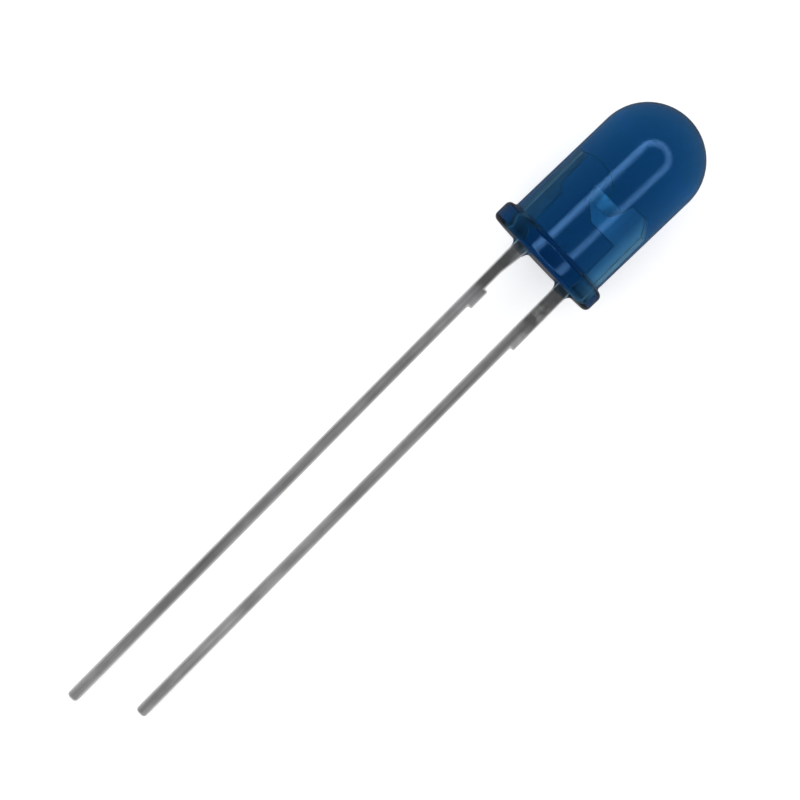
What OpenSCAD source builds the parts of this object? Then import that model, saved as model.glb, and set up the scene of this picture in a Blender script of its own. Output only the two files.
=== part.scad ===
// Through-hole LED, 5 mm round, in tinted clear resin.
// The LED is drawn upright: z along the optical axis, z = 0 on the seating plane under the flange, anode on
// the left (-x), cathode on the right (+x), front towards -y.
// The module at_rest() then lays it on its side about the middle of the seating plane, so that a flat surface
// under it touches the flange's rim and the ends of both leads.

/* [Lens] */
// Diameter of the round body
body_d = 5; // [4.6:0.1:5.6]
// Height from the seating plane to the tip of the dome
body_h = 8.9; // [8.2:0.1:10]
// How far the flange stands out from the body
flange_lip = 0.35; // [0.3:0.05:0.6]
// Thickness of the flange
flange_t = 1; // [0.8:0.1:1.4]
// Rounding of the flange's two edges
flange_edge_r = 0.25; // [0.1:0.05:0.3]
// Fillet between the flange and the body
body_fillet_r = 0.12; // [0.05:0.01:0.2]
// Height of the resin that creeps down each lead
meniscus_h = 0.35; // [0.2:0.05:0.5]
// Thickness of that resin round a lead at its lower end
meniscus_t = 0.08; // [0.06:0.01:0.12]

/* [Leads] */
// Distance between the centres of the leads
lead_pitch = 2.54; // [2.4:0.02:2.8]
// Width of a lead
lead_w = 0.5; // [0.4:0.05:0.6]
// Thickness of the sheet that the lead frame is stamped from
sheet_t = 0.5; // [0.4:0.05:0.6]
// Length of the cathode lead below the seating plane
cathode_l = 25.6; // [8:0.1:30]
// How much longer the anode lead is
anode_extra_l = 1.6; // [0.5:0.1:3]
// Depth below the seating plane where the cut tie bar begins
tie_bar_z = 2.4; // [1.8:0.1:4]
// Height of the cut tie bar along the lead
tie_bar_h = 1; // [0.6:0.1:1.5]
// How far the cut tie bar stands out from a lead
tie_bar_stub = 0.18; // [0.1:0.02:0.25]
// Length over which the anode lead narrows below the lens
anode_taper_l = 1.4; // [0.8:0.1:1.7]

/* [Lead frame inside the lens] */
// How far the lead frame leans in the resin, turned about the cup, as the mould holds it
frame_lean = 1.6; // [0:0.1:2]
// Distance across the outer sides of the two posts
posts_span = 3.4; // [3.3:0.05:3.6]
// Width of each post
post_w = 0.6; // [0.55:0.05:0.65]
// Height above the seating plane at which the posts have spread to their full distance
post_foot_z = 0.9; // [0.6:0.05:1.2]
// How far the anode post rises past the rim of the cup
post_rise = 0.65; // [0.5:0.05:0.8]
// Height of the wide foot of the anode post
anode_foot_h = 2.8; // [1.6:0.1:3]
// Width of the anode post above its foot
anode_tip_w = 0.34; // [0.25:0.01:0.4]
// Depth of the cathode's arm under the cup
arm_h = 0.65; // [0.5:0.05:0.85]
// How much lower than the anode post the cathode's shoulder ends
shoulder_drop = 0.15; // [0:0.05:0.2]
// Width of the shoulder's flat top beside the cup
shoulder_w = 0.58; // [0.5:0.02:0.6]
// Width of the slope from the shoulder to the outer side of the post
shoulder_cut_w = 0.45; // [0.4:0.05:0.5]
// Height of that slope
shoulder_cut_h = 0.7; // [0.4:0.05:0.8]

/* [Reflector cup] */
// Height of the cup's rim above the seating plane
cup_rim_z = 4.05; // [3.95:0.05:4.2]
// Height of the cup
cup_h = 0.65; // [0.6:0.05:0.8]
// Diameter of the cup at its rim
cup_d = 1.1; // [1.05:0.05:1.15]
// Diameter of the cup at its foot
cup_foot_d = 0.84; // [0.8:0.02:0.96]
// Diameter of the bowl at its mouth
bowl_d = 0.94; // [0.84:0.02:0.98]
// Diameter of the bowl's flat floor
bowl_floor_d = 0.56; // [0.54:0.02:0.62]
// Depth of the bowl
bowl_depth = 0.4; // [0.34:0.02:0.5]

/* [Chip] */
// Side of the square chip
chip_w = 0.3; // [0.2:0.02:0.32]
// Thickness of the chip
chip_t = 0.15; // [0.1:0.01:0.2]
// Thickness of the glue under the chip
glue_t = 0.02; // [0.01:0.01:0.03]
// How high the glue climbs the sides of the chip
glue_climb = 0.04; // [0.02:0.01:0.06]
// Gap between the glue and the edge of the bowl's floor
glue_gap = 0.02; // [0.01:0.01:0.03]
// Width of the glue outside the chip's corners where it ends
glue_rim = 0.01; // [0.01:0.005:0.02]
// Diameter of the bond pad on the chip
pad_d = 0.12; // [0.1:0.01:0.16]
// Thickness of the bond pad
pad_t = 0.01; // [0.01:0.01:0.02]

/* [Bond wire] */
// Diameter of the wire
wire_d = 0.03; // [0.025:0.005:0.04]
// How far the loop rises above the posts
loop_rise = 0.3; // [0.15:0.05:0.5]
// Diameter of the ball bond on the pad
ball_d = 0.08; // [0.06:0.01:0.09]
// Height of the ball bond
ball_h = 0.04; // [0.03:0.01:0.05]
// Length of the flattened wire end on the anode post
stitch_l = 0.12; // [0.08:0.02:0.16]

/* [Hidden] */
$fn = 96;

resin = [0.10, 0.25, 0.52, 0.55];
tinned_steel = [0.62, 0.63, 0.64];
silver_plate = [0.80, 0.81, 0.83];
silver_glue = [0.68, 0.68, 0.66];
chip_grey = [0.20, 0.20, 0.24];
gold = [0.86, 0.68, 0.30];

body_r = body_d / 2;
dome_z = body_h - body_r;
flange_r = body_r + flange_lip;
anode_l = cathode_l + anode_extra_l;

// The two leads, the outer side of each post and the side that faces the axis
lead_x = lead_pitch / 2;
lead_out = lead_x + lead_w / 2;
lead_in = lead_x - lead_w / 2;
post_out = posts_span / 2;
post_in = post_out - post_w;
post_start_z = post_foot_z / 3;

// Both leads are widened on the same side where they leave the resin: the anode towards the cathode, and the
// cathode away from the anode
anode_wide = -lead_in + tie_bar_stub;
cathode_wide = lead_out + tie_bar_stub;

// The anode's foot ends in a slope as wide as the foot is wider than the tip
anode_slope = post_w - anode_tip_w;

post_h = cup_rim_z + post_rise;
shoulder_h = post_h - shoulder_drop;
shoulder_out = post_out - shoulder_cut_w;
shoulder_in = shoulder_out - shoulder_w;

bowl_floor_z = cup_rim_z - bowl_depth;
cup_foot_z = cup_rim_z - cup_h;
arm_z = cup_foot_z - arm_h;
chip_z = bowl_floor_z + glue_t;
pad_z = chip_z + chip_t;
ball_z = pad_z + pad_t;

// The glue ends between the chip's corners and the edge of the bowl's floor
glue_foot_r = bowl_floor_d / 2 - glue_gap;
glue_top_r = chip_w / sqrt(2) + glue_rim;

exit_x = [(anode_wide - lead_out) / 2, (cathode_wide + lead_in) / 2];
meniscus_in_r = (lead_w + tie_bar_stub) / 2 + meniscus_t;

// The wire runs from the ball to the middle of the anode post's top
wire_start = [0, ball_z + ball_h / 2];
wire_end = [-(post_out - anode_tip_w / 2) + stitch_l / 2, post_h + wire_d / 2];
wire_steps = 18;
wire_sides = 8;

// Where a point of the upright lead frame, given as x and z, stands once the frame leans
function leant(p) = let (d = p - [0, cup_rim_z]) [
    d.x * cos(frame_lean) - d.y * sin(frame_lean),
    d.x * sin(frame_lean) + d.y * cos(frame_lean) + cup_rim_z
];

// Rest on a flat surface: the tilt that brings the flange's rim and the lead ends level, and the small roll
// that brings the shorter lead down beside the longer one. Each depends on the other, so they are worked out
// in turns, and the last turn changes nothing that can be measured.
cathode_tip = leant([lead_out, -cathode_l]);
anode_tip = leant([-lead_in, -anode_l]);
function roll_at(tilt) = asin(tan(tilt) * (cathode_tip.y - anode_tip.y) / (cathode_tip.x - anode_tip.x));
function tilt_at(tilt, roll) = atan(
    (flange_r - flange_edge_r + flange_edge_r / cos(tilt)
     - cos(roll) * sheet_t / 2 - sin(roll) * cathode_tip.x) / (flange_edge_r - cathode_tip.y));
function rest_tilt(turns = 8, tilt = 5) = turns == 0 ? tilt : rest_tilt(turns - 1, tilt_at(tilt, roll_at(tilt)));
tilt = rest_tilt();
roll = roll_at(tilt);

// A cubic curve through the wire's bonds: it leaves the ball straight up and comes down flat on the post
function wire_rise() = [wire_start.x, post_h + loop_rise * 4 / 3];
function wire_land() = [wire_end.x + lead_w, wire_end.y + loop_rise];
function on_wire(t) = pow(1 - t, 3) * wire_start + 3 * pow(1 - t, 2) * t * wire_rise()
    + 3 * (1 - t) * t * t * wire_land() + pow(t, 3) * wire_end;
function along_wire(t) = let (
        ahead = on_wire(min(t + 0.01, 1)),
        behind = on_wire(max(t - 0.01, 0)),
        step = ahead - behind
    ) step / norm(step);

// Half outline of the lens, turned about the axis
module lens_outline() {
    square([body_r, dome_z]);
    translate([0, dome_z]) intersection() {
        circle(body_r);
        square(body_r);
    }
    square([flange_r - flange_edge_r, flange_t]);
    translate([0, flange_edge_r]) square([flange_r, flange_t - 2 * flange_edge_r]);
    for (z = [flange_edge_r, flange_t - flange_edge_r])
        translate([flange_r - flange_edge_r, z]) circle(flange_edge_r);
    translate([body_r, flange_t]) difference() {
        square(body_fillet_r);
        translate([body_fillet_r, body_fillet_r]) circle(body_fillet_r);
    }
}

// Resin drawn down a lead in a hollow curve, as surface tension leaves it
module meniscus() {
    rotate_extrude() difference() {
        translate([0, -meniscus_h]) square([meniscus_in_r + meniscus_h, meniscus_h]);
        translate([meniscus_in_r + meniscus_h, -meniscus_h]) circle(meniscus_h);
    }
}

module lens() {
    color(resin) difference() {
        union() {
            rotate_extrude() lens_outline();
            for (x = exit_x) translate([leant([x, 0]).x, 0]) meniscus();
        }
        anode_lead();
        cathode_lead();
        chip_glue();
        chip();
        bond_pad();
        bond_wire();
    }
}

// Turns a flat outline, drawn as x across and y up, into a stamped piece of the sheet
module stamped() {
    rotate([90, 0, 0]) linear_extrude(sheet_t, center = true) children();
}

module leaning() {
    translate([0, 0, cup_rim_z]) rotate([0, -frame_lean, 0]) translate([0, 0, -cup_rim_z]) children();
}

// Up the outer side to the narrow tip, then down the side that faces the cathode: the post's foot, the wide
// start of the lead below the lens, and the cut end of the tie bar
module anode_outline() {
    polygon([
        [-lead_out, -anode_l],
        [-lead_out, post_start_z],
        [-post_out, post_foot_z],
        [-post_out, post_h],
        [-post_out + anode_tip_w, post_h],
        [-post_out + anode_tip_w, anode_foot_h + anode_slope],
        [-post_in, anode_foot_h],
        [-post_in, post_foot_z],
        [anode_wide, post_start_z],
        [anode_wide, 0],
        [-lead_in, -anode_taper_l],
        [-lead_in, -tie_bar_z],
        [anode_wide, -tie_bar_z],
        [anode_wide, -tie_bar_z - tie_bar_h],
        [-lead_in, -tie_bar_z - tie_bar_h],
        [-lead_in, -anode_l]
    ]);
}

module anode_lead() {
    color(tinned_steel) leaning() stamped() anode_outline();
}

// Up the outer side, which stays wide from the end of the cut tie bar to the lens, over the shoulder beside
// the cup, and back along the underside of the arm
module cathode_outline() {
    polygon([
        [lead_in, -cathode_l],
        [lead_out, -cathode_l],
        [lead_out, -tie_bar_z - tie_bar_h],
        [cathode_wide, -tie_bar_z - tie_bar_h],
        [cathode_wide, post_start_z],
        [post_out, post_foot_z],
        [post_out, shoulder_h - shoulder_cut_h],
        [shoulder_out, shoulder_h],
        [shoulder_in, shoulder_h],
        [cup_d * 0.55, cup_rim_z],
        [-cup_foot_d / 2, cup_rim_z],
        [-cup_foot_d / 2, cup_foot_z],
        [cup_foot_d / 8, arm_z],
        [post_in, arm_z],
        [post_in, post_foot_z],
        [lead_in, post_start_z]
    ]);
}

module cathode_lead() {
    color(silver_plate) leaning() difference() {
        union() {
            stamped() cathode_outline();
            translate([0, 0, cup_foot_z]) cylinder(d1 = cup_foot_d, d2 = cup_d, h = cup_h);
        }
        translate([0, 0, bowl_floor_z]) bowl();
    }
}

// The hollow of the cup, open upwards past everything that the stamping leaves beside it
module bowl() {
    cylinder(d1 = bowl_floor_d, d2 = bowl_d, h = bowl_depth);
    translate([0, 0, bowl_depth]) cylinder(d = bowl_d, h = post_h);
}

module chip_glue() {
    color(silver_glue) leaning() difference() {
        translate([0, 0, bowl_floor_z])
            cylinder(r1 = glue_foot_r, r2 = glue_top_r, h = glue_t + glue_climb);
        chip_block();
    }
}

module chip_block() {
    translate([-chip_w / 2, -chip_w / 2, chip_z]) cube([chip_w, chip_w, chip_t]);
}

module chip() {
    color(chip_grey) leaning() chip_block();
}

module bond_pad() {
    color(gold) leaning() translate([0, 0, pad_z]) cylinder(d = pad_d, h = pad_t);
}

// Round wire along its curve, with a ring of points at each step
module wire_tube() {
    rings = [for (i = [0:wire_steps]) let (
        t = i / wire_steps,
        centre = on_wire(t),
        heading = along_wire(t)
    ) [for (k = [0:wire_sides - 1]) let (
        turn = 360 * (k + 0.5) / wire_sides,
        out = wire_d / 2 * cos(turn),
        across = wire_d / 2 * sin(turn)
    ) [centre.x + heading.y * out, across, centre.y - heading.x * out]]];
    points = [for (ring = rings) each ring];
    sides = [for (i = [0:wire_steps - 1]) for (k = [0:wire_sides - 1]) let (
        a = i * wire_sides + k,
        b = i * wire_sides + (k + 1) % wire_sides
    ) [a, a + wire_sides, b + wire_sides, b]];
    start_cap = [for (k = [0:wire_sides - 1]) k];
    end_cap = [for (k = [wire_sides - 1:-1:0]) wire_steps * wire_sides + k];
    polyhedron(points, concat([start_cap, end_cap], sides));
}

module bond_wire() {
    color(gold) leaning() {
        translate([0, 0, ball_z]) cylinder(d = ball_d, h = ball_h);
        wire_tube();
        translate([wire_end.x - stitch_l, -wire_d * 0.75, post_h])
            cube([stitch_l + wire_d / 2, wire_d * 1.5, wire_d * 0.75]);
    }
}

module at_rest() {
    rotate([tilt - 90, 0, 0]) rotate([0, 0, roll]) children();
}

at_rest() lens();
at_rest() anode_lead();
at_rest() cathode_lead();
at_rest() chip_glue();
at_rest() chip();
at_rest() bond_pad();
at_rest() bond_wire();
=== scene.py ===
"""Looks for the through-hole LED: clear tinted resin round a stamped, plated lead frame."""
import math

import bmesh
import bpy
from mathutils import Matrix, Vector, noise


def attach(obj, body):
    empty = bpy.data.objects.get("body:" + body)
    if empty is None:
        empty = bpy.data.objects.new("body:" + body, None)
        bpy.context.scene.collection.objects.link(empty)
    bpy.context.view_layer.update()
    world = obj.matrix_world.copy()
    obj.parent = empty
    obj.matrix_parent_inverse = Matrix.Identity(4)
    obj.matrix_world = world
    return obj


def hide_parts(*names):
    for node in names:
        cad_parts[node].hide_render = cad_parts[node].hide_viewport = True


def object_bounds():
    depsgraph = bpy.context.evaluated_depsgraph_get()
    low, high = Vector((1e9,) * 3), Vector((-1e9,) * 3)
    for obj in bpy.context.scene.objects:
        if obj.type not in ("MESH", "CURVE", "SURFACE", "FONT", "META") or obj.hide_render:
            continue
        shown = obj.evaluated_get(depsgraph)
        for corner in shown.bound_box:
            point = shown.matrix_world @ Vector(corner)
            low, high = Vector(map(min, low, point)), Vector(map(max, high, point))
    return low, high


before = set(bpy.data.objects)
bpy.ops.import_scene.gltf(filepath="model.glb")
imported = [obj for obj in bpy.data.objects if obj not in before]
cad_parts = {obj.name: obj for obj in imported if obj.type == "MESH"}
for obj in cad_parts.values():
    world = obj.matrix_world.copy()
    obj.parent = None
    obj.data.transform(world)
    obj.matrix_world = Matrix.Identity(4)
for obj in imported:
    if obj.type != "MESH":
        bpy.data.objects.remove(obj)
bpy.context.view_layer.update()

MM = 0.001

# Sizes of the CAD part in mm, in its upright frame: z along the lens axis, z = 0 on the seating plane
BODY_R = 2.5
DOME_Z = 6.4
FLANGE_R = 2.85
FLANGE_T = 1.0
EDGE_R = 0.25
FILLET_R = 0.12
SHEET_T = 0.5
LEAD_IN, LEAD_OUT = 1.02, 1.52
LEAD_W = LEAD_OUT - LEAD_IN
LEAD_MIDDLE = (LEAD_IN + LEAD_OUT) / 2
TIE_STUB = 0.18
TIE_Z, TIE_H = 2.4, 1.0
ANODE_L, CATHODE_L = 27.2, 25.6
ANODE_TAPER_L = 1.4
POST_OUT, POST_IN = 1.7, 1.1
POST_START_Z, POST_FOOT_Z, POST_H = 0.3, 0.9, 4.7
ANODE_FOOT_H, ANODE_TIP_W = 2.8, 0.34
CUP_Z, CUP_H, CUP_R, CUP_FOOT_R = 4.05, 0.65, 0.55, 0.42
BOWL_R, BOWL_FLOOR_R, BOWL_DEPTH = 0.47, 0.28, 0.4
ARM_Z, ARM_START_X = 2.75, 0.1
SHOULDER_IN, SHOULDER_OUT, SHOULDER_H, SHOULDER_CUT_H = 0.67, 1.25, 4.55, 0.7
CHIP_W, CHIP_T, GLUE_T, GLUE_CLIMB = 0.3, 0.15, 0.02, 0.04
PAD_R, PAD_T = 0.06, 0.01
WIRE_R, BALL_R, BALL_H, STITCH_L, LOOP_RISE = 0.015, 0.04, 0.04, 0.12, 0.3
MENISCUS_H, MENISCUS_W = 0.33, 0.34

# Fine shapes that only this script has, in mm
LEAD_END_CUT = 0.1
WORN_EDGE, WORN_STEPS = 0.07, 4
SHOULDER_GAP = 0.02
CUP_BASE_T = 0.12
CUP_FOOT_EDGE, BOWL_EDGE = 0.04, 0.05
CHIP_EDGE, PAD_EDGE = 0.006, 0.004
STITCH_TIP_T, STITCH_HEEL_T = 0.004, 0.02
# The glue's outer side, as radii and heights above the bowl's floor
GLUE_SIDE = [(0.246, 0.001), (0.25, 0.012), (0.24, 0.035), (0.218, GLUE_T + GLUE_CLIMB)]
# How uneven the drawn-down resin and the glue are, as shares of their size
MENISCUS_UNEVENNESS, GLUE_UNEVENNESS = 0.10, 0.03

# Clear resin. The dye's density is per metre of resin
RESIN_IOR = 1.53
DYE_COLOUR, DYE_DENSITY = (0.24, 0.59, 0.745), 1385.0

# How the LED lies, in degrees: tilt of its axis, roll about it, and lean of the lead frame in the resin
TILT, ROLL, LEAN = 5.43032, 3.64973, 1.6
AT_REST = Matrix.Rotation(math.radians(TILT - 90), 4, "X") @ Matrix.Rotation(math.radians(ROLL), 4, "Z")
CUP_AT = Matrix.Translation((0, 0, CUP_Z * MM))
LEANING = AT_REST @ CUP_AT @ Matrix.Rotation(math.radians(-LEAN), 4, "Y") @ CUP_AT.inverted()


# Helpers

def add_piece(name, verts, faces, place, material, node):
    """A mesh given in millimetres in the upright frame, laid down with the LED, in place of a CAD node."""
    mesh = bpy.data.meshes.new(name)
    mesh.from_pydata([Vector(v) * MM for v in verts], [], faces)
    finish_piece(name, mesh, place, material, node)


def finish_piece(name, mesh, place, material, node, smooth=True):
    mesh.validate()
    mesh.update()
    for polygon in mesh.polygons:
        polygon.use_smooth = smooth
    mesh.transform(place)
    piece = bpy.data.objects.new(name, mesh)
    bpy.context.scene.collection.objects.link(piece)
    mesh.materials.append(material)
    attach(piece, "root")
    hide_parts(node)


def lathe(profile, segments, radius_at=None):
    """Turns (radius, z) points about z. An end that isn't on the axis is left open."""
    on_axis = 1e-6
    verts, faces, rings = [], [], []
    for r, z in profile:
        if r < on_axis:
            rings.append([len(verts)])
            verts.append((0, 0, z))
            continue
        ring = []
        for k in range(segments):
            turn = 2 * math.pi * k / segments
            rr = r * (radius_at(turn, z) if radius_at else 1)
            ring.append(len(verts))
            verts.append((rr * math.cos(turn), rr * math.sin(turn), z))
        rings.append(ring)
    for low, high in zip(rings, rings[1:]):
        for k in range(segments):
            n = (k + 1) % segments
            if len(low) == 1:
                faces.append((low[0], high[n], high[k]))
            elif len(high) == 1:
                faces.append((low[k], low[n], high[0]))
            else:
                faces.append((low[k], low[n], high[n], high[k]))
    return verts, faces


def arc(cx, cz, r, start, end, steps):
    """Points of an arc in the (radius, z) plane, angles in degrees from +radius towards +z."""
    angles = [math.radians(start + (end - start) * i / steps) for i in range(steps + 1)]
    return [(cx + r * math.cos(angle), cz + r * math.sin(angle)) for angle in angles]


def stamped_mesh(name, outline):
    """A flat outline (x, z) extruded to the sheet's thickness, with the rounded edges of a stamped part."""
    bm = bmesh.new()
    front = [bm.verts.new((x * MM, -SHEET_T / 2 * MM, z * MM)) for x, z in outline]
    face = bm.faces.new(front)
    out = bmesh.ops.extrude_face_region(bm, geom=[face])
    moved = [v for v in out["geom"] if isinstance(v, bmesh.types.BMVert)]
    bmesh.ops.translate(bm, verts=moved, vec=(0, SHEET_T * MM, 0))
    bmesh.ops.recalc_face_normals(bm, faces=bm.faces)
    bevelled = bmesh.ops.bevel(bm, geom=list(bm.edges), offset=WORN_EDGE * MM, segments=WORN_STEPS,
                               profile=0.5, affect="EDGES", clamp_overlap=True)
    rounded = set(bevelled["faces"])
    bmesh.ops.recalc_face_normals(bm, faces=bm.faces)
    # The edges round the two flat faces are lightened: partly rubbed plating, partly a painted highlight.
    # Those that cross the thickness aren't
    worn_and_highlight = bm.verts.layers.float.new("worn_and_highlight")
    crossing_ends_y = (SHEET_T / 2 - 0.9 * WORN_EDGE) * MM
    for vert in bm.verts:
        on_edge = abs(vert.co.y) > crossing_ends_y
        vert[worn_and_highlight] = 1.0 if on_edge and all(face in rounded for face in vert.link_faces) else 0.0
    mesh = bpy.data.meshes.new(name)
    bm.to_mesh(mesh)
    bm.free()
    return mesh


# Nodes of materials

def new_material(name):
    """A material with an empty Principled shader joined to its output."""
    material = bpy.data.materials.new(name)
    material.use_nodes = True
    tree = material.node_tree
    tree.nodes.clear()
    output = tree.nodes.new("ShaderNodeOutputMaterial")
    shader = tree.nodes.new("ShaderNodeBsdfPrincipled")
    tree.links.new(shader.outputs["BSDF"], output.inputs["Surface"])
    return material, tree, shader


def upright_coords(tree, scale=(1, 1, 1)):
    """Coordinates in the lead frame's own upright frame, so that grain can run along the leads."""
    coords = tree.nodes.new("ShaderNodeTexCoord")
    upright = tree.nodes.new("ShaderNodeMapping")
    back = LEANING.inverted()
    upright.inputs["Location"].default_value = back.to_translation()
    upright.inputs["Rotation"].default_value = back.to_euler()
    stretched = tree.nodes.new("ShaderNodeMapping")
    stretched.inputs["Scale"].default_value = scale
    tree.links.new(coords.outputs["Object"], upright.inputs["Vector"])
    tree.links.new(upright.outputs["Vector"], stretched.inputs["Vector"])
    return stretched.outputs["Vector"]


def axes_of(tree, vector):
    split = tree.nodes.new("ShaderNodeSeparateXYZ")
    tree.links.new(vector, split.inputs["Vector"])
    return [split.outputs[axis] for axis in "XYZ"]


def noise_at(tree, vector, scale, detail=3.0):
    node = tree.nodes.new("ShaderNodeTexNoise")
    node.inputs["Scale"].default_value = scale
    node.inputs["Detail"].default_value = detail
    node.inputs["Roughness"].default_value = 0.55
    tree.links.new(vector, node.inputs["Vector"])
    return node.outputs["Fac"]


def ramp(tree, value, stops):
    """Colours along a value; each stop is a position and its colour, or a grey level."""
    node = tree.nodes.new("ShaderNodeValToRGB")
    elements = node.color_ramp.elements
    stops = [(position, colour if isinstance(colour, tuple) else (colour,) * 3) for position, colour in stops]
    for end in (0, -1):
        position, colour = stops[end]
        elements[end].position = position
        elements[end].color = (*colour, 1)
    for position, colour in stops[1:-1]:
        elements.new(position).color = (*colour, 1)
    tree.links.new(value, node.inputs["Fac"])
    return node.outputs["Color"]


def map_range(tree, value, source, target):
    """Takes a value from one range to another, and stops at its ends."""
    node = tree.nodes.new("ShaderNodeMapRange")
    for name, number in zip(("From Min", "From Max", "To Min", "To Max"), (*source, *target)):
        node.inputs[name].default_value = number
    tree.links.new(value, node.inputs["Value"])
    return node.outputs["Result"]


def math_node(tree, operation, first, second=None):
    """One step of arithmetic; the second value is a socket, a number or nothing."""
    node = tree.nodes.new("ShaderNodeMath")
    node.operation = operation
    tree.links.new(first, node.inputs[0])
    if isinstance(second, float):
        node.inputs[1].default_value = second
    elif second is not None:
        tree.links.new(second, node.inputs[1])
    return node.outputs[0]


def product(tree, first, *others):
    for other in others:
        first = math_node(tree, "MULTIPLY", first, other)
    return first


def mixed(tree, factor, first, second, blend_type="MIX"):
    """Mixes two colours, fully where the factor is None; the second is a socket or a plain colour."""
    node = tree.nodes.new("ShaderNodeMix")
    node.data_type = "RGBA"
    node.blend_type = blend_type
    if factor is None:
        node.inputs["Factor"].default_value = 1.0
    else:
        tree.links.new(factor, node.inputs["Factor"])
    tree.links.new(first, node.inputs["A"])
    if isinstance(second, tuple):
        node.inputs["B"].default_value = (*second, 1)
    else:
        tree.links.new(second, node.inputs["B"])
    return node.outputs["Result"]


def uneven_roughness(tree, shader, vector, scale, target):
    unevenness = noise_at(tree, vector, scale)
    tree.links.new(map_range(tree, unevenness, (0.3, 0.7), target), shader.inputs["Roughness"])


def bump(tree, shader, height, strength, distance):
    node = tree.nodes.new("ShaderNodeBump")
    node.inputs["Strength"].default_value = strength
    node.inputs["Distance"].default_value = distance
    tree.links.new(height, node.inputs["Height"])
    tree.links.new(node.outputs["Normal"], shader.inputs["Normal"])


# Materials: scales of noise are per metre, and distances of bumps are in metres

def resin_material():
    """Clear resin with a blue dye: the colour comes from the depth of resin that light passes through."""
    material, tree, shader = new_material("tinted_resin")
    shader.inputs["Base Color"].default_value = (0.93, 0.96, 1.0, 1)
    shader.inputs["Transmission Weight"].default_value = 1.0
    shader.inputs["IOR"].default_value = RESIN_IOR
    shader.inputs["Specular Tint"].default_value = (0.12, 0.30, 0.62, 1)
    dye = tree.nodes.new("ShaderNodeVolumeAbsorption")
    dye.inputs["Color"].default_value = (*DYE_COLOUR, 1)
    dye.inputs["Density"].default_value = DYE_DENSITY
    tree.links.new(dye.outputs["Volume"], tree.nodes["Material Output"].inputs["Volume"])
    vector = upright_coords(tree)
    uneven_roughness(tree, shader, vector, 900, (0.06, 0.10))
    bump(tree, shader, noise_at(tree, vector, 300, detail=1.0), 0.01, 0.00002)
    return material


def rolled_plating(tree, vector, grain, light, dark):
    """Soft blotches and rolling marks, with brighter and duller stretches a few millimetres long."""
    blotches = ramp(tree, noise_at(tree, vector, 1100, detail=5.0), [(0.32, dark), (0.68, light)])
    streaks = ramp(tree, noise_at(tree, grain, 4200), [(0.36, 0.62), (0.64, 1.25)])
    stretches = ramp(tree, noise_at(tree, vector, 330, detail=1.0), [(0.35, 0.78), (0.68, 1.55)])
    marked = mixed(tree, None, blotches, streaks, "MULTIPLY")
    return mixed(tree, None, marked, stretches, "MULTIPLY")


def highlighted_sides(tree, colour, x, y):
    """Painted highlight: the lead's faces are lighter towards its edges, where the rounded edges catch the
    light.
    """
    past_middle = math_node(tree, "SUBTRACT", math_node(tree, "ABSOLUTE", x), LEAD_MIDDLE * MM)
    from_middle = math_node(tree, "ABSOLUTE", past_middle)
    across_face = math_node(tree, "MINIMUM", from_middle, math_node(tree, "ABSOLUTE", y))
    share = map_range(tree, across_face, (0.11 * MM, 0.24 * MM), (0.0, 0.5))
    return mixed(tree, share, colour, (0.30, 0.30, 0.30))


def shaded_near_resin(tree, colour, vector, z, dark_stretch):
    """Painted shade near the resin: dark patches between the tie bar and the resin, where the leads lie in
    its shadow and mirror its dark body, and one short stretch painted nearly black.
    """
    patches = product(
        tree,
        map_range(tree, z, (-3.4 * MM, -2.0 * MM), (0.0, 1.0)),
        map_range(tree, z, (0.0, 0.4 * MM), (1.0, 0.0)),
        map_range(tree, noise_at(tree, vector, 1500, detail=4.0), (0.34, 0.58), (0.30, 0.95)),
    )
    patched = mixed(tree, patches, colour, (0.014, 0.015, 0.014))
    low, high = dark_stretch
    fade = 0.4
    darkest = product(
        tree,
        map_range(tree, z, ((low - fade) * MM, low * MM), (0.0, 0.8)),
        map_range(tree, z, (high * MM, (high + fade) * MM), (1.0, 0.0)),
    )
    return mixed(tree, darkest, patched, (0.010, 0.011, 0.010))


def silver_inside_painted_light(tree, colour, x, z):
    """Above the flange the lead frame shows its silver plating, with painted light on it: the anode painted
    dull, the cup and shoulder between, and the cathode's post painted brightest.
    """
    anode, cup = (0.33, 0.34, 0.37), (0.80, 0.81, 0.84)
    shoulder, post = (0.52, 0.54, 0.62), (0.97, 0.97, 0.98)
    silver = ramp(tree, map_range(tree, x, (-2.0 * MM, 2.0 * MM), (0.0, 1.0)),
                  [(0.35, anode), (0.42, cup), (0.62, cup), (0.72, shoulder), (0.78, shoulder), (0.88, post)])
    return mixed(tree, map_range(tree, z, (0.2 * MM, 1.3 * MM), (0.0, 1.0)), colour, silver)


def plated_material(name, light, dark, dark_stretch):
    """Plated sheet: rolled grain along the lead, edges lightened with wear and painted highlight, painted
    shade near the resin, and silver inside the lens with painted light on its parts.
    """
    material, tree, shader = new_material(name)
    vector = upright_coords(tree)
    grain = upright_coords(tree, (1, 1, 0.06))
    x, y, z = axes_of(tree, vector)
    colour = rolled_plating(tree, vector, grain, light, dark)
    # Painted highlight: faces lighter towards the lead's edges
    colour = highlighted_sides(tree, colour, x, y)
    # Painted shade and painted dark reflection near the resin
    colour = shaded_near_resin(tree, colour, vector, z, dark_stretch)
    # Silver inside the lens, with painted light and shade on its parts
    colour = silver_inside_painted_light(tree, colour, x, z)
    # Rounded edges lightened: partly rubbed plating, partly a painted highlight
    worn_and_highlight = tree.nodes.new("ShaderNodeAttribute")
    worn_and_highlight.attribute_name = "worn_and_highlight"
    colour = mixed(tree, worn_and_highlight.outputs["Fac"], colour, (0.45, 0.45, 0.45))
    tree.links.new(colour, shader.inputs["Base Color"])
    tree.links.new(map_range(tree, z, (-0.1 * MM, 0.1 * MM), (0.1, 0.15)), shader.inputs["Metallic"])
    uneven_roughness(tree, shader, vector, 2600, (0.34, 0.54))
    bump(tree, shader, noise_at(tree, grain, 9000, detail=4.0), 0.25, 0.000012)
    return material


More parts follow.
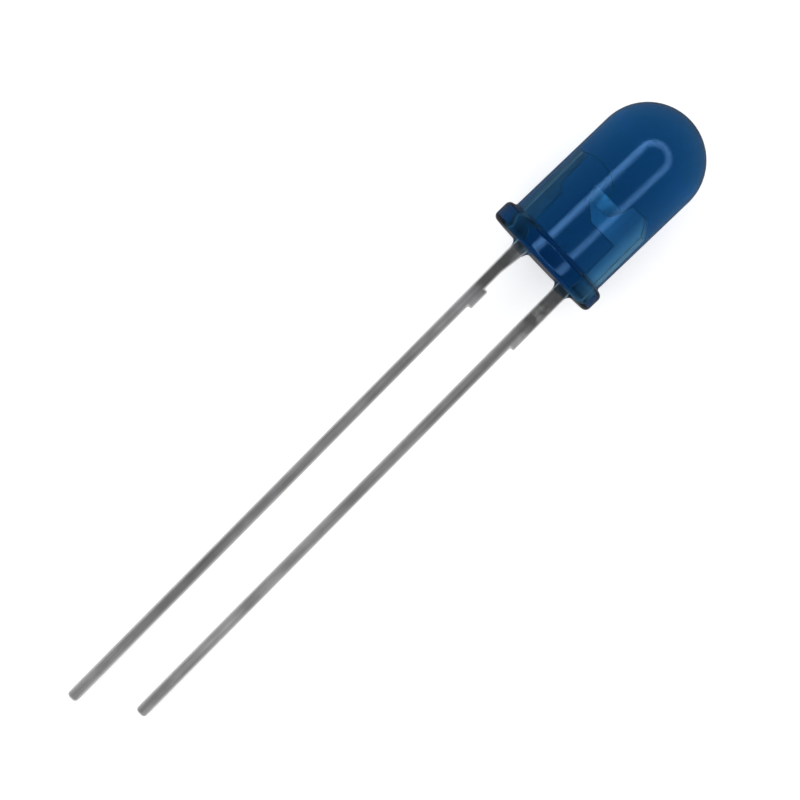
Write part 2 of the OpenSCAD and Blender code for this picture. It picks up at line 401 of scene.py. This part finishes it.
def cup_material():
    """Silver plate of the reflector cup: satin outside, with a painted highlight that brightens it towards
    the rim.
    """
    material, tree, shader = new_material("silvered_cup")
    vector = upright_coords(tree)
    z = axes_of(tree, vector)[2]
    # Painted highlight: the cup is painted brighter towards its rim
    rim = map_range(tree, z, (3.7 * MM, 4.0 * MM), (0.0, 1.0))
    tree.links.new(ramp(tree, rim, [(0.0, (0.80, 0.81, 0.84)), (1.0, 0.97)]), shader.inputs["Base Color"])
    shader.inputs["Metallic"].default_value = 0.4
    uneven_roughness(tree, shader, vector, 2600, (0.3, 0.5))
    bump(tree, shader, noise_at(tree, vector, 12000, detail=3.0), 0.1, 0.000006)
    return material


def plain_metal(name, colour, roughness):
    material, tree, shader = new_material(name)
    shader.inputs["Metallic"].default_value = 1.0
    dark = tuple(c * 0.82 for c in colour)
    blotches = noise_at(tree, upright_coords(tree), 20000)
    tree.links.new(ramp(tree, blotches, [(0.35, dark), (0.65, colour)]), shader.inputs["Base Color"])
    shader.inputs["Roughness"].default_value = roughness
    return material


def chip_material():
    material, tree, shader = new_material("chip")
    vector = upright_coords(tree)
    grain = noise_at(tree, vector, 16000, detail=5.0)
    tree.links.new(ramp(tree, grain, [(0.35, (0.10, 0.10, 0.13)), (0.65, (0.22, 0.22, 0.27))]),
                   shader.inputs["Base Color"])
    shader.inputs["Roughness"].default_value = 0.28
    bump(tree, shader, noise_at(tree, vector, 40000), 0.2, 0.000002)
    return material


def glue_material():
    """Silver-filled glue: dull, with a coarse grain."""
    material, tree, shader = new_material("silver_glue")
    vector = upright_coords(tree)
    grain = noise_at(tree, vector, 30000, detail=6.0)
    tree.links.new(ramp(tree, grain, [(0.35, (0.42, 0.42, 0.40)), (0.65, (0.72, 0.72, 0.69))]),
                   shader.inputs["Base Color"])
    shader.inputs["Metallic"].default_value = 0.6
    shader.inputs["Roughness"].default_value = 0.55
    bump(tree, shader, noise_at(tree, vector, 50000, detail=5.0), 0.5, 0.000004)
    return material


def floor_material():
    """White paper, made a little brighter so that the background is white."""
    material, tree, shader = new_material("floor")
    clouds = noise_at(tree, upright_coords(tree), 60)
    tree.links.new(ramp(tree, clouds, [(0.3, 0.86), (0.7, 0.88)]), shader.inputs["Base Color"])
    shader.inputs["Roughness"].default_value = 0.9
    shader.inputs["Emission Color"].default_value = (1, 1, 1, 1)
    shader.inputs["Emission Strength"].default_value = 0.42
    return material


resin = resin_material()
# The last numbers give each lead's nearly black stretch of painted shade, in mm along the lead
tinned = plated_material("tinned_steel", (0.114, 0.114, 0.117), (0.083, 0.083, 0.083), dark_stretch=(-2.2, -1.1))
plated = plated_material("plated_steel", (0.150, 0.149, 0.149), (0.108, 0.108, 0.108), dark_stretch=(-0.9, 0.0))
silvered = cup_material()
gold = plain_metal("gold", (0.90, 0.68, 0.30), 0.2)
chip_look = chip_material()
glue_look = glue_material()


# Lens

def lead_distance(x, y, lead):
    """Distance outside one lead's rectangle where it leaves the resin, in the lens's frame."""
    low, high = lead
    dx = max(low - x, 0, x - high)
    dy = max(abs(y) - SHEET_T / 2, 0)
    return math.hypot(dx, dy)


def underside_z(x, y):
    """The flange's underside: resin drawn down each lead in a hollow curve, a little unevenly."""
    depth = 0.0
    shift = CUP_Z * math.tan(math.radians(LEAN))
    for side, lead in enumerate(((-LEAD_OUT, -LEAD_IN + TIE_STUB), (LEAD_IN, LEAD_OUT + TIE_STUB))):
        middle = sum(lead) / 2 + shift
        turn = math.atan2(y, x - middle)
        uneven = 1 + MENISCUS_UNEVENNESS * noise.noise(Vector((math.cos(turn), math.sin(turn), 3.0 + side)))
        d = lead_distance(x - shift, y, lead) / (MENISCUS_W * uneven)
        if d < 1:
            depth = max(depth, MENISCUS_H * uneven * (1 - math.sqrt(1 - (1 - d) ** 2)))
    return -depth


def lens_profile():
    """From the flange's underside to the dome's tip. Narrow strips keep the shading of flat sides flat."""
    strip = 0.012
    barrel_steps = 10
    dome_steps, dome_end = 56, 89.2
    fillet_top = FLANGE_T + FILLET_R
    profile = arc(FLANGE_R - EDGE_R, EDGE_R, EDGE_R, -90, 0, 12)
    profile += [(FLANGE_R, EDGE_R + strip), (FLANGE_R, FLANGE_T - EDGE_R - strip)]
    profile += arc(FLANGE_R - EDGE_R, FLANGE_T - EDGE_R, EDGE_R, 0, 90, 12)
    profile += arc(BODY_R + FILLET_R, fillet_top, FILLET_R, -90, -180, 8)
    profile.append((BODY_R, fillet_top + strip))
    for i in range(1, barrel_steps):
        profile.append((BODY_R, fillet_top + (DOME_Z - fillet_top) * i / barrel_steps))
    profile += arc(0, DOME_Z, BODY_R, 0, dome_end, dome_steps)
    profile.append((0, DOME_Z + BODY_R))
    return profile


def build_lens():
    segments = 224
    rings = 86
    verts, faces = lathe(lens_profile(), segments)
    # The underside, ring by ring inwards from the first ring of the profile
    outer = list(range(segments))
    for i in range(1, rings):
        r = (FLANGE_R - EDGE_R) * (1 - i / rings)
        ring = []
        for k in range(segments):
            turn = 2 * math.pi * k / segments
            x, y = r * math.cos(turn), r * math.sin(turn)
            ring.append(len(verts))
            verts.append((x, y, underside_z(x, y)))
        for k in range(segments):
            n = (k + 1) % segments
            faces.append((outer[n], outer[k], ring[k], ring[n]))
        outer = ring
    centre = len(verts)
    verts.append((0, 0, underside_z(0, 0)))
    faces += [(outer[(k + 1) % segments], outer[k], centre) for k in range(segments)]
    add_piece("lens_body", verts, faces, AT_REST, resin, "lens")


build_lens()


# Lead frame

anode_wide = -LEAD_IN + TIE_STUB
cathode_wide = LEAD_OUT + TIE_STUB
anode_slope = POST_OUT - POST_IN - ANODE_TIP_W

anode_outline = [
    (-LEAD_OUT + LEAD_END_CUT, -ANODE_L),
    (-LEAD_OUT, -ANODE_L + LEAD_END_CUT),
    (-LEAD_OUT, POST_START_Z),
    (-POST_OUT, POST_FOOT_Z),
    (-POST_OUT, POST_H),
    (-POST_OUT + ANODE_TIP_W, POST_H),
    (-POST_OUT + ANODE_TIP_W, ANODE_FOOT_H + anode_slope),
    (-POST_IN, ANODE_FOOT_H),
    (-POST_IN, POST_FOOT_Z),
    (anode_wide, POST_START_Z),
    (anode_wide, 0),
    (-LEAD_IN, -ANODE_TAPER_L),
    (-LEAD_IN, -TIE_Z),
    (anode_wide, -TIE_Z),
    (anode_wide, -TIE_Z - TIE_H),
    (-LEAD_IN, -TIE_Z - TIE_H),
    (-LEAD_IN, -ANODE_L + LEAD_END_CUT),
    (-LEAD_IN - LEAD_END_CUT, -ANODE_L),
]
finish_piece("anode_leadframe", stamped_mesh("anode_leadframe", anode_outline), LEANING, tinned,
             "anode_lead", smooth=False)

# The flat part stops at the cup's wall, so that the bowl stays empty
cup_foot_z = CUP_Z - CUP_H
cathode_outline = [
    (LEAD_IN, -CATHODE_L + LEAD_END_CUT),
    (LEAD_IN + LEAD_END_CUT, -CATHODE_L),
    (LEAD_OUT - LEAD_END_CUT, -CATHODE_L),
    (LEAD_OUT, -CATHODE_L + LEAD_END_CUT),
    (LEAD_OUT, -TIE_Z - TIE_H),
    (cathode_wide, -TIE_Z - TIE_H),
    (cathode_wide, POST_START_Z),
    (POST_OUT, POST_FOOT_Z),
    (POST_OUT, SHOULDER_H - SHOULDER_CUT_H),
    (SHOULDER_OUT, SHOULDER_H),
    (SHOULDER_IN, SHOULDER_H),
    (CUP_R + SHOULDER_GAP, CUP_Z),
    (CUP_FOOT_R - CUP_FOOT_EDGE, cup_foot_z + CUP_BASE_T),
    (-CUP_FOOT_R + CUP_FOOT_EDGE, cup_foot_z + CUP_BASE_T),
    (-CUP_FOOT_R, cup_foot_z),
    (ARM_START_X, ARM_Z),
    (POST_IN, ARM_Z),
    (POST_IN, POST_FOOT_Z),
    (LEAD_IN, POST_START_Z),
]
finish_piece("cathode_leadframe", stamped_mesh("cathode_leadframe", cathode_outline), LEANING, plated,
             "cathode_lead", smooth=False)

bowl_floor_z = CUP_Z - BOWL_DEPTH
lip_r = (CUP_R - BOWL_R) / 2
cup_profile = [(0, cup_foot_z), (CUP_FOOT_R - CUP_FOOT_EDGE, cup_foot_z)]
cup_profile += arc(CUP_FOOT_R - CUP_FOOT_EDGE, cup_foot_z + CUP_FOOT_EDGE, CUP_FOOT_EDGE, -70, 0, 4)
cup_profile += arc(CUP_R - lip_r, CUP_Z - lip_r, lip_r, 0, 180, 8)
cup_profile += arc(BOWL_FLOOR_R - BOWL_EDGE, bowl_floor_z + BOWL_EDGE, BOWL_EDGE, 0, -90, 5)
cup_profile.append((0, bowl_floor_z))
verts, faces = lathe(cup_profile, 128)
add_piece("reflector_cup", verts, faces, LEANING, silvered, "cathode_lead")


# Chip, glue, pad and wire

chip_z = bowl_floor_z + GLUE_T
pad_z = chip_z + CHIP_T
ball_z = pad_z + PAD_T


def build_chip():
    bm = bmesh.new()
    bmesh.ops.create_cube(bm, size=1)
    bmesh.ops.scale(bm, verts=bm.verts, vec=(CHIP_W * MM, CHIP_W * MM, CHIP_T * MM))
    bmesh.ops.translate(bm, verts=bm.verts, vec=(0, 0, (chip_z + CHIP_T / 2) * MM))
    bmesh.ops.bevel(bm, geom=list(bm.edges), offset=CHIP_EDGE * MM, segments=2, profile=0.5, affect="EDGES")
    mesh = bpy.data.meshes.new("chip_die")
    bm.to_mesh(mesh)
    bm.free()
    finish_piece("chip_die", mesh, LEANING, chip_look, "chip", smooth=False)


build_chip()


def glue_unevenness(turn, z):
    return 1 + GLUE_UNEVENNESS * noise.noise(Vector((math.cos(turn) * 2, math.sin(turn) * 2, z * 9)))


glue_profile = [(0, bowl_floor_z + GLUE_SIDE[0][1])]
glue_profile += [(r, bowl_floor_z + height) for r, height in GLUE_SIDE]
glue_profile.append((0, bowl_floor_z + GLUE_T + GLUE_CLIMB * 0.4))
verts, faces = lathe(glue_profile, 96, radius_at=glue_unevenness)
add_piece("glue_fillet", verts, faces, LEANING, glue_look, "chip_glue")

pad_profile = [(0, pad_z), (PAD_R, pad_z), (PAD_R, pad_z + PAD_T * 0.7)]
pad_profile += [(PAD_R - PAD_EDGE, ball_z), (0, ball_z)]
verts, faces = lathe(pad_profile, 64)
add_piece("chip_pad", verts, faces, LEANING, gold, "bond_pad")

# The wire leaves the ball straight up and comes down flat on the anode's tip
wire_start = Vector((0, 0, ball_z + BALL_H / 2))
wire_end = Vector((-(POST_OUT - ANODE_TIP_W / 2) + STITCH_L / 2, 0, POST_H + WIRE_R))
wire_rise = Vector((0, 0, POST_H + LOOP_RISE * 4 / 3))
wire_land = Vector((wire_end.x + LEAD_W, 0, wire_end.z + LOOP_RISE))


def on_wire(t):
    u = 1 - t
    return u ** 3 * wire_start + 3 * u * u * t * wire_rise + 3 * u * t * t * wire_land + t ** 3 * wire_end


def wire_tube():
    """Round wire along its curve, with a ring of points at each step."""
    steps, sides = 72, 16
    nearby = 0.005
    verts, faces = [], []
    for i in range(steps + 1):
        t = i / steps
        heading = (on_wire(min(t + nearby, 1)) - on_wire(max(t - nearby, 0))).normalized()
        out = Vector((heading.z, 0, -heading.x))
        for k in range(sides):
            turn = 2 * math.pi * k / sides
            verts.append(on_wire(t) + WIRE_R * (math.cos(turn) * out + math.sin(turn) * Vector((0, 1, 0))))
    for i in range(steps):
        for k in range(sides):
            a, b = i * sides + k, i * sides + (k + 1) % sides
            faces.append((a, b, b + sides, a + sides))
    faces.append(tuple(range(sides - 1, -1, -1)))
    faces.append(tuple(steps * sides + k for k in range(sides)))
    return verts, faces


def wire_ball():
    """The ball on the pad, squashed by the bonding tool, with a small neck."""
    profile = [(0, ball_z), (BALL_R * 0.8, ball_z)]
    profile += arc(BALL_R * 0.55, ball_z + BALL_H * 0.45, BALL_R * 0.45, -60, 70, 8)
    profile += [(WIRE_R * 1.35, ball_z + BALL_H), (0, ball_z + BALL_H)]
    return lathe(profile, 48)


def wire_stitch():
    """The wire's end on the anode, flattened into a thin wedge."""
    half = WIRE_R * 1.4
    tip_half, top_half = half * 0.7, half * 0.8
    tip_x, heel_x = wire_end.x - STITCH_L, wire_end.x + WIRE_R
    tip_top, heel_top = POST_H + STITCH_TIP_T, POST_H + STITCH_HEEL_T
    verts = [
        (tip_x, -tip_half, POST_H), (tip_x, tip_half, POST_H),
        (heel_x, half, POST_H), (heel_x, -half, POST_H),
        (tip_x, -tip_half, tip_top), (tip_x, tip_half, tip_top),
        (heel_x, top_half, heel_top), (heel_x, -top_half, heel_top),
    ]
    faces = [(0, 1, 2, 3), (7, 6, 5, 4), (0, 4, 5, 1), (1, 5, 6, 2), (2, 6, 7, 3), (3, 7, 4, 0)]
    return verts, faces


def build_wire():
    verts, faces = wire_tube()
    for more_verts, more_faces in (wire_ball(), wire_stitch()):
        base = len(verts)
        verts += more_verts
        faces += [tuple(base + i for i in face) for face in more_faces]
    add_piece("gold_wire", verts, faces, LEANING, gold, "bond_wire")


build_wire()


# Floor, light and camera

FLOOR_SIZE = 3
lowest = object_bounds()[0][2]
bpy.ops.mesh.primitive_plane_add(size=FLOOR_SIZE, location=(0, 0, lowest))
floor = bpy.context.object
floor.name = "floor"
floor.data.materials.append(floor_material())
floor.visible_glossy = False

# The camera faces the front of the LED square on, as the photograph does, with the dome to the upper right.
# The photograph is 800 pixels wide
PIXELS_PER_MM = 23.45
FRAME_WIDTH = 800 / PIXELS_PER_MM
SENSOR_WIDTH = 36
CAMERA_DISTANCE = 300.0
IMAGE_CENTRE = Vector((0.09, 0, -8.3))
AXIS_ANGLE = 43.68


def place_camera():
    data = bpy.data.cameras.new("camera")
    data.sensor_width = SENSOR_WIDTH
    data.lens = SENSOR_WIDTH * CAMERA_DISTANCE / FRAME_WIDTH
    data.clip_start = 0.01
    data.clip_end = 10
    camera = bpy.data.objects.new("camera", data)
    bpy.context.scene.collection.objects.link(camera)
    facing = Matrix.Rotation(math.radians(90), 4, "X")
    turned = Matrix.Rotation(math.radians(90 - AXIS_ANGLE), 4, "Z")
    place = Matrix.Translation((IMAGE_CENTRE + Vector((0, -CAMERA_DISTANCE, 0))) * MM)
    camera.matrix_world = AT_REST @ place @ facing @ turned
    bpy.context.scene.camera = camera


place_camera()

# A soft ring light round the camera. Its mirror image makes the long loop on the lens. It faces a point
# RING_HEIGHT up the lens axis, is turned about that axis and raised, and its radii are angles from there
RING_DISTANCE = 240.0
RING_HEIGHT = 4.0
RING_TURN, RING_RAISE = 4.8, 8.6
RING_INNER_ANGLE, RING_OUTER_ANGLE = 21.0, 39.5
RING_STRENGTH = 9.5
# Shares of that strength: left and right, bottom and top, and along the inner and outer edges
RING_LEFT, RING_RIGHT = 1.1, 0.66
RING_BOTTOM, RING_TOP = 0.35, 0.72
RING_EDGE = 0.15
# Where it starts to weaken: downwards and upwards as shares of the outer radius, and inwards from each edge
# as a share of the width
RING_WEAK_BELOW, RING_WEAK_ABOVE = -0.4, 0.2
RING_SOFT = 0.45
ring_inner = RING_DISTANCE * math.tan(math.radians(RING_INNER_ANGLE)) * MM
ring_outer = RING_DISTANCE * math.tan(math.radians(RING_OUTER_ANGLE)) * MM


def ring_glow():
    """Brightest in the middle of the ring's width and on the left, and weaker at the top and bottom."""
    material = bpy.data.materials.new("ring_glow")
    material.use_nodes = True
    tree = material.node_tree
    tree.nodes.clear()
    coords = tree.nodes.new("ShaderNodeTexCoord").outputs["Object"]
    x, _, z = axes_of(tree, coords)
    length = tree.nodes.new("ShaderNodeVectorMath")
    length.operation = "LENGTH"
    tree.links.new(coords, length.inputs[0])
    reach = length.outputs["Value"]
    soft = RING_SOFT * (ring_outer - ring_inner)
    left, right = RING_STRENGTH * RING_LEFT, RING_STRENGTH * RING_RIGHT
    strength = product(
        tree,
        map_range(tree, x, (-ring_outer, ring_outer), (left, right)),
        map_range(tree, z, (-ring_outer, RING_WEAK_BELOW * ring_outer), (RING_BOTTOM, 1.0)),
        map_range(tree, z, (RING_WEAK_ABOVE * ring_outer, ring_outer), (1.0, RING_TOP)),
        map_range(tree, reach, (ring_inner, ring_inner + soft), (RING_EDGE, 1.0)),
        map_range(tree, reach, (ring_outer - soft, ring_outer), (1.0, RING_EDGE)),
    )
    glow = tree.nodes.new("ShaderNodeEmission")
    output = tree.nodes.new("ShaderNodeOutputMaterial")
    tree.links.new(strength, glow.inputs["Strength"])
    tree.links.new(glow.outputs["Emission"], output.inputs["Surface"])
    return material


def ring_light():
    segments, verts, faces = 64, [], []
    for radius in (ring_inner, ring_outer):
        for k in range(segments):
            turn = 2 * math.pi * k / segments
            verts.append(Vector((radius * math.cos(turn), 0, radius * math.sin(turn))))
    for k in range(segments):
        n = (k + 1) % segments
        faces.append((k, n, segments + n, segments + k))
    mesh = bpy.data.meshes.new("ring_light")
    mesh.from_pydata(verts, [], faces)
    mesh.materials.append(ring_glow())
    ring = bpy.data.objects.new("ring_light", mesh)
    bpy.context.scene.collection.objects.link(ring)
    ring.matrix_world = (
        AT_REST
        @ Matrix.Translation((0, 0, RING_HEIGHT * MM))
        @ Matrix.Rotation(math.radians(RING_TURN), 4, "Z")
        @ Matrix.Rotation(math.radians(-RING_RAISE), 4, "X")
        @ Matrix.Translation((0, -RING_DISTANCE * MM, 0))
    )
    ring.visible_camera = False
    ring.visible_diffuse = False


ring_light()


def soft_light():
    """A wide soft light beyond the lead ends."""
    data = bpy.data.lights.new("soft_light", "AREA")
    data.shape = "RECTANGLE"
    data.size, data.size_y = 0.30, 0.16
    data.energy = 0.12
    soft = bpy.data.objects.new("soft_light", data)
    bpy.context.scene.collection.objects.link(soft)
    soft.location = (0, -0.24, 0.20)
    aim = Vector((0, -0.01, 0))
    soft.rotation_euler = (aim - soft.location).to_track_quat("-Z", "Y").to_euler()
    soft.visible_camera = False


soft_light()

# The room lights everything evenly, and is darker where it is seen mirrored
ROOM_LIGHT, ROOM_MIRRORED = 0.9, 0.12


def light_room():
    world = bpy.data.worlds.new("studio")
    world.use_nodes = True
    sky = world.node_tree
    background = sky.nodes["Background"]
    background.inputs["Color"].default_value = (1, 1, 1, 1)
    rays = sky.nodes.new("ShaderNodeLightPath")
    mirrored = math_node(sky, "SUBTRACT", rays.outputs["Is Glossy Ray"], rays.outputs["Is Transmission Ray"])
    strength = map_range(sky, mirrored, (0.0, 1.0), (ROOM_LIGHT, ROOM_MIRRORED))
    sky.links.new(strength, background.inputs["Strength"])
    bpy.context.scene.world = world


light_room()
bpy.context.scene.view_settings.view_transform = "Standard"
